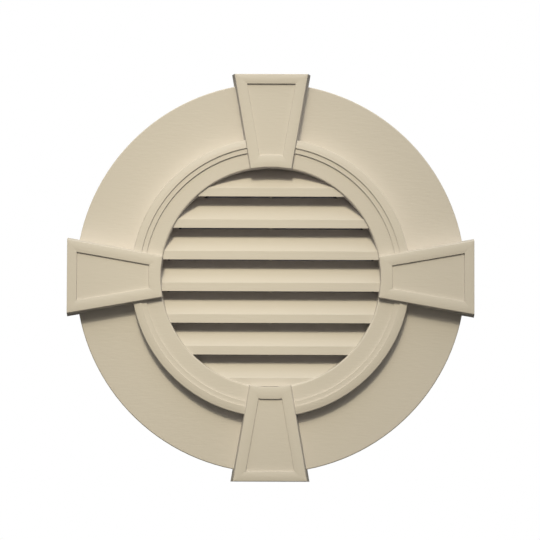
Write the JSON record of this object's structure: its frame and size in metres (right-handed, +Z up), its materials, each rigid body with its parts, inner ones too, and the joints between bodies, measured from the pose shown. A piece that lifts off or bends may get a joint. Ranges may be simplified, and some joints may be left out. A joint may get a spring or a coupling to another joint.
{
  "type": "gable vent",
  "caption": "Round louvred gable vent: flat flange, raised stepped ring and keystones around sloping slats, with an insect screen behind, to let attic air out and keep rain off.",
  "frame": {"origin": "centre of the round opening, on the wall plane that the flange's rim lies on", "axes": "+X to the right of the face, +Y into the wall, +Z up; the face looks along -Y"},
  "size_m": [0.7716, 0.074, 0.7716],
  "materials": {
    "moulding": "satin beige moulded polypropylene",
    "screen": "dark coated glass fibre mesh"
  },
  "bodies": {
    "root": {"vent_body": "moulding", "insect_screen": "screen"}
  },
  "joints": []
}
